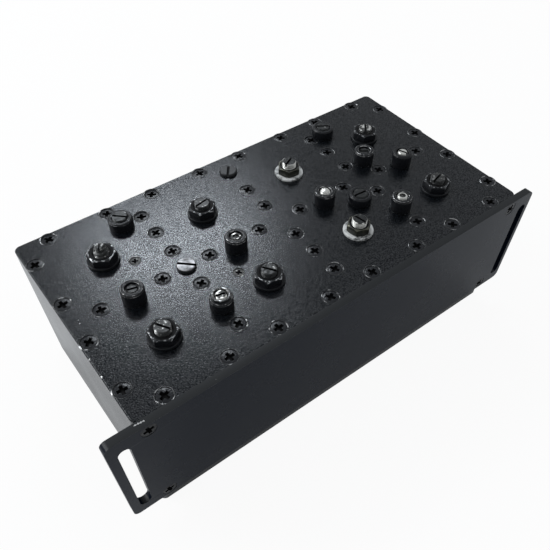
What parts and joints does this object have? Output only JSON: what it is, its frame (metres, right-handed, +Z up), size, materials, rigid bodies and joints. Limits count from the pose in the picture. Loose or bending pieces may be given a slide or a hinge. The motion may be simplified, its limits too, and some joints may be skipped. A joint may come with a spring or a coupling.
{
  "type": "rf duplexer",
  "caption": "Cavity duplexer: black milled box with tuning screws and lock nuts through its screwed lid, a front panel with slotted ears and coaxial jacks at the rear.",
  "frame": {"origin": "middle of the housing's underside", "axes": "+X along the length to the receive side, +Y from the front panel to the jacks, +Z up through the lid"},
  "size_m": [0.1983, 0.1148, 0.0691],
  "materials": {
    "black_paint": "satin black paint on milled aluminium",
    "textured_black_paint": "fine textured black paint on aluminium plate",
    "panel_black_paint": "smooth satin black paint on aluminium plate",
    "black_steel": "painted over, bare at the recess",
    "worn_steel": "half bare countersunk steel",
    "painted_screw": "painted over, worn bright along its edges",
    "bright_screw": "nickel plated",
    "black_nut": "painted over, worn along its edges",
    "nickel": "bright nickel plate",
    "plain_steel": "plain stainless steel",
    "gilt_brass": "gold plated",
    "silvered": "silver plated",
    "jack_plating": "white bronze plated",
    "fluoropolymer": "white fluoropolymer"
  },
  "bodies": {
    "root": {"housing": "black_paint", "lid": "textured_black_paint", "front_panel": "panel_black_paint", "lid_screws": "black_steel", "panel_screws": "black_steel", "loop_screws": "worn_steel", "slotted_screws": "painted_screw", "lock_nuts": "black_nut", "washers": "black_nut", "bright_nuts": "nickel", "bright_washers": "nickel", "coupling_bushes": "black_nut", "resonator_bolts": "plain_steel", "transmit_tap": "gilt_brass", "antenna_tee": "gilt_brass", "receive_tap": "gilt_brass", "cross_loop": "gilt_brass", "cross_probe": "gilt_brass", "probe_holder": "fluoropolymer", "jack_screws": "plain_steel", "resonator_1": "silvered", "resonator_2": "silvered", "resonator_3": "silvered", "resonator_4": "silvered", "resonator_5": "silvered", "resonator_6": "silvered", "resonator_7": "silvered", "resonator_8": "silvered", "transmit_jack": "jack_plating", "transmit_insulator": "fluoropolymer", "transmit_contact": "gilt_brass", "antenna_jack": "jack_plating", "antenna_insulator": "fluoropolymer", "antenna_contact": "gilt_brass", "receive_jack": "jack_plating", "receive_insulator": "fluoropolymer", "receive_contact": "gilt_brass"},
    "tuning_screw_1": {"tuning_screw_1": "painted_screw"},
    "tuning_screw_2": {"tuning_screw_2": "painted_screw"},
    "tuning_screw_3": {"tuning_screw_3": "painted_screw"},
    "tuning_screw_4": {"tuning_screw_4": "painted_screw"},
    "tuning_screw_5": {"tuning_screw_5": "bright_screw"},
    "tuning_screw_6": {"tuning_screw_6": "bright_screw"},
    "tuning_screw_7": {"tuning_screw_7": "painted_screw"},
    "tuning_screw_8": {"tuning_screw_8": "painted_screw"},
    "coupling_screw_1": {"coupling_screw_1": "painted_screw"},
    "coupling_screw_2": {"coupling_screw_2": "bright_screw"},
    "coupling_screw_3": {"coupling_screw_3": "painted_screw"},
    "coupling_screw_4": {"coupling_screw_4": "bright_screw"},
    "coupling_screw_5": {"coupling_screw_5": "bright_screw"},
    "coupling_screw_6": {"coupling_screw_6": "bright_screw"},
    "transmit_screw": {"transmit_screw": "painted_screw"},
    "receive_screw": {"receive_screw": "painted_screw"},
    "probe_screw_near": {"probe_screw_near": "painted_screw"},
    "probe_screw_far": {"probe_screw_far": "painted_screw"}
  },
  "joints": [
    {"name": "tuning_screw_1_turn", "type": "hinge", "parent": "root", "child": "tuning_screw_1", "pos_m": [-0.0654, 0.0207, 0.0615], "axis": [0, 0, 1], "range_deg": [-810, 810]},
    {"name": "tuning_screw_2_turn", "type": "hinge", "parent": "root", "child": "tuning_screw_2", "pos_m": [-0.0654, -0.0236, 0.0615], "axis": [0, 0, 1], "range_deg": [-810, 810]},
    {"name": "tuning_screw_3_turn", "type": "hinge", "parent": "root", "child": "tuning_screw_3", "pos_m": [-0.022, -0.0236, 0.0615], "axis": [0, 0, 1], "range_deg": [-810, 810]},
    {"name": "tuning_screw_4_turn", "type": "hinge", "parent": "root", "child": "tuning_screw_4", "pos_m": [-0.022, 0.0207, 0.0615], "axis": [0, 0, 1], "range_deg": [-810, 810]},
    {"name": "tuning_screw_5_turn", "type": "hinge", "parent": "root", "child": "tuning_screw_5", "pos_m": [0.0214, 0.0207, 0.0615], "axis": [0, 0, 1], "range_deg": [-810, 810]},
    {"name": "tuning_screw_6_turn", "type": "hinge", "parent": "root", "child": "tuning_screw_6", "pos_m": [0.0214, -0.0236, 0.0615], "axis": [0, 0, 1], "range_deg": [-810, 810]},
    {"name": "tuning_screw_7_turn", "type": "hinge", "parent": "root", "child": "tuning_screw_7", "pos_m": [0.0648, -0.0236, 0.0615], "axis": [0, 0, 1], "range_deg": [-810, 810]},
    {"name": "tuning_screw_8_turn", "type": "hinge", "parent": "root", "child": "tuning_screw_8", "pos_m": [0.0648, 0.0207, 0.0615], "axis": [0, 0, 1], "range_deg": [-810, 810]},
    {"name": "coupling_screw_1_turn", "type": "hinge", "parent": "root", "child": "coupling_screw_1", "pos_m": [-0.0654, -0.00285, 0.0615], "axis": [0, 0, 1], "range_deg": [-810, 810]},
    {"name": "coupling_screw_2_turn", "type": "hinge", "parent": "root", "child": "coupling_screw_2", "pos_m": [-0.0425, -0.0236, 0.0615], "axis": [0, 0, 1], "range_deg": [-810, 810]},
    {"name": "coupling_screw_3_turn", "type": "hinge", "parent": "root", "child": "coupling_screw_3", "pos_m": [-0.022, -0.00285, 0.0615], "axis": [0, 0, 1], "range_deg": [-810, 810]},
    {"name": "coupling_screw_4_turn", "type": "hinge", "parent": "root", "child": "coupling_screw_4", "pos_m": [0.0214, -0.00285, 0.0615], "axis": [0, 0, 1], "range_deg": [-810, 810]},
    {"name": "coupling_screw_5_turn", "type": "hinge", "parent": "root", "child": "coupling_screw_5", "pos_m": [0.0443, -0.0236, 0.0615], "axis": [0, 0, 1], "range_deg": [-810, 810]},
    {"name": "coupling_screw_6_turn", "type": "hinge", "parent": "root", "child": "coupling_screw_6", "pos_m": [0.0648, -0.00285, 0.0615], "axis": [0, 0, 1], "range_deg": [-810, 810]},
    {"name": "transmit_screw_turn", "type": "hinge", "parent": "root", "child": "transmit_screw", "pos_m": [-0.051, 0.0339, 0.0615], "axis": [0, 0, 1], "range_deg": [-810, 810]},
    {"name": "receive_screw_turn", "type": "hinge", "parent": "root", "child": "receive_screw", "pos_m": [0.0511, 0.0339, 0.0615], "axis": [0, 0, 1], "range_deg": [-810, 810]},
    {"name": "probe_screw_near_turn", "type": "hinge", "parent": "root", "child": "probe_screw_near", "pos_m": [0.0526, 0.00805, 0.0615], "axis": [0, 0, 1], "range_deg": [-810, 810]},
    {"name": "probe_screw_far_turn", "type": "hinge", "parent": "root", "child": "probe_screw_far", "pos_m": [0.0338, -0.01075, 0.0615], "axis": [0, 0, 1], "range_deg": [-810, 810]}
  ]
}
